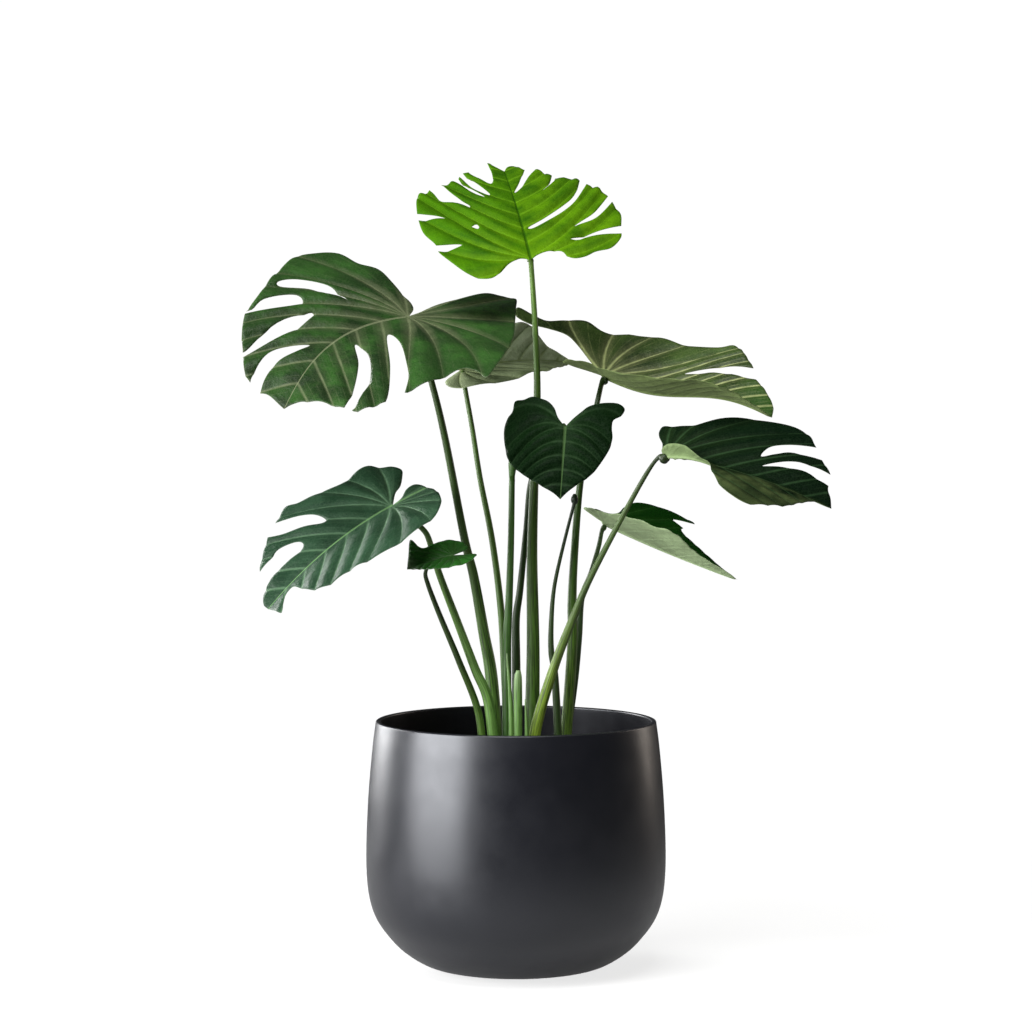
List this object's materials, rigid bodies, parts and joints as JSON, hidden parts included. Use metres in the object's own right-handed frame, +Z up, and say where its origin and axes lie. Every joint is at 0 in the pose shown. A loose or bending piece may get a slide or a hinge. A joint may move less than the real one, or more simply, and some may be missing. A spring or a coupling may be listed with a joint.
{
  "type": "potted monstera plant",
  "caption": "Potted monstera with split and heart-shaped leaves on long green stalks, standing in a round charcoal pot",
  "frame": {"origin": "middle of the pot's flat foot, on the surface that it stands on", "axes": "+Z up along the pot's axis; the side of the plant that faces a viewer looks along -Y; +X is to that viewer's right"},
  "size_m": [0.5641, 0.3625, 0.8104],
  "materials": {
    "pot_glaze": "satin charcoal, slightly blue",
    "potting_soil": "dark crumbly potting soil, matte",
    "leaf_bright": "young bright green leaf, satin",
    "leaf_mid": "mid green leaf with paler veins, satin",
    "leaf_olive": "olive green leaf with pale veins, satin",
    "leaf_dark": "very dark green leaf, satin",
    "leaf_blue_green": "grey blue-green leaf with pale veins, satin",
    "stalk_green": "smooth green stalk, slightly ribbed"
  },
  "bodies": {
    "root": {"pot": "pot_glaze", "soil": "potting_soil", "leaf_top": "leaf_bright", "leaf_upper_left": "leaf_mid", "leaf_upper_right": "leaf_olive", "leaf_back": "leaf_olive", "leaf_heart": "leaf_dark", "leaf_right": "leaf_dark", "leaf_lower_right": "leaf_dark", "leaf_lower_left": "leaf_blue_green", "leaf_small": "leaf_dark", "leaf_furled": "leaf_bright", "petiole_top": "stalk_green", "petiole_upper_left": "stalk_green", "petiole_upper_right": "stalk_green", "petiole_back": "stalk_green", "petiole_heart": "stalk_green", "petiole_right": "stalk_green", "petiole_lower_right": "stalk_green", "petiole_lower_left": "stalk_green", "petiole_small": "stalk_green", "petiole_furled": "stalk_green", "bud_stalk": "stalk_green", "shoot_tall": "stalk_green", "shoot_middle": "stalk_green", "shoot_short": "stalk_green"}
  },
  "joints": []
}
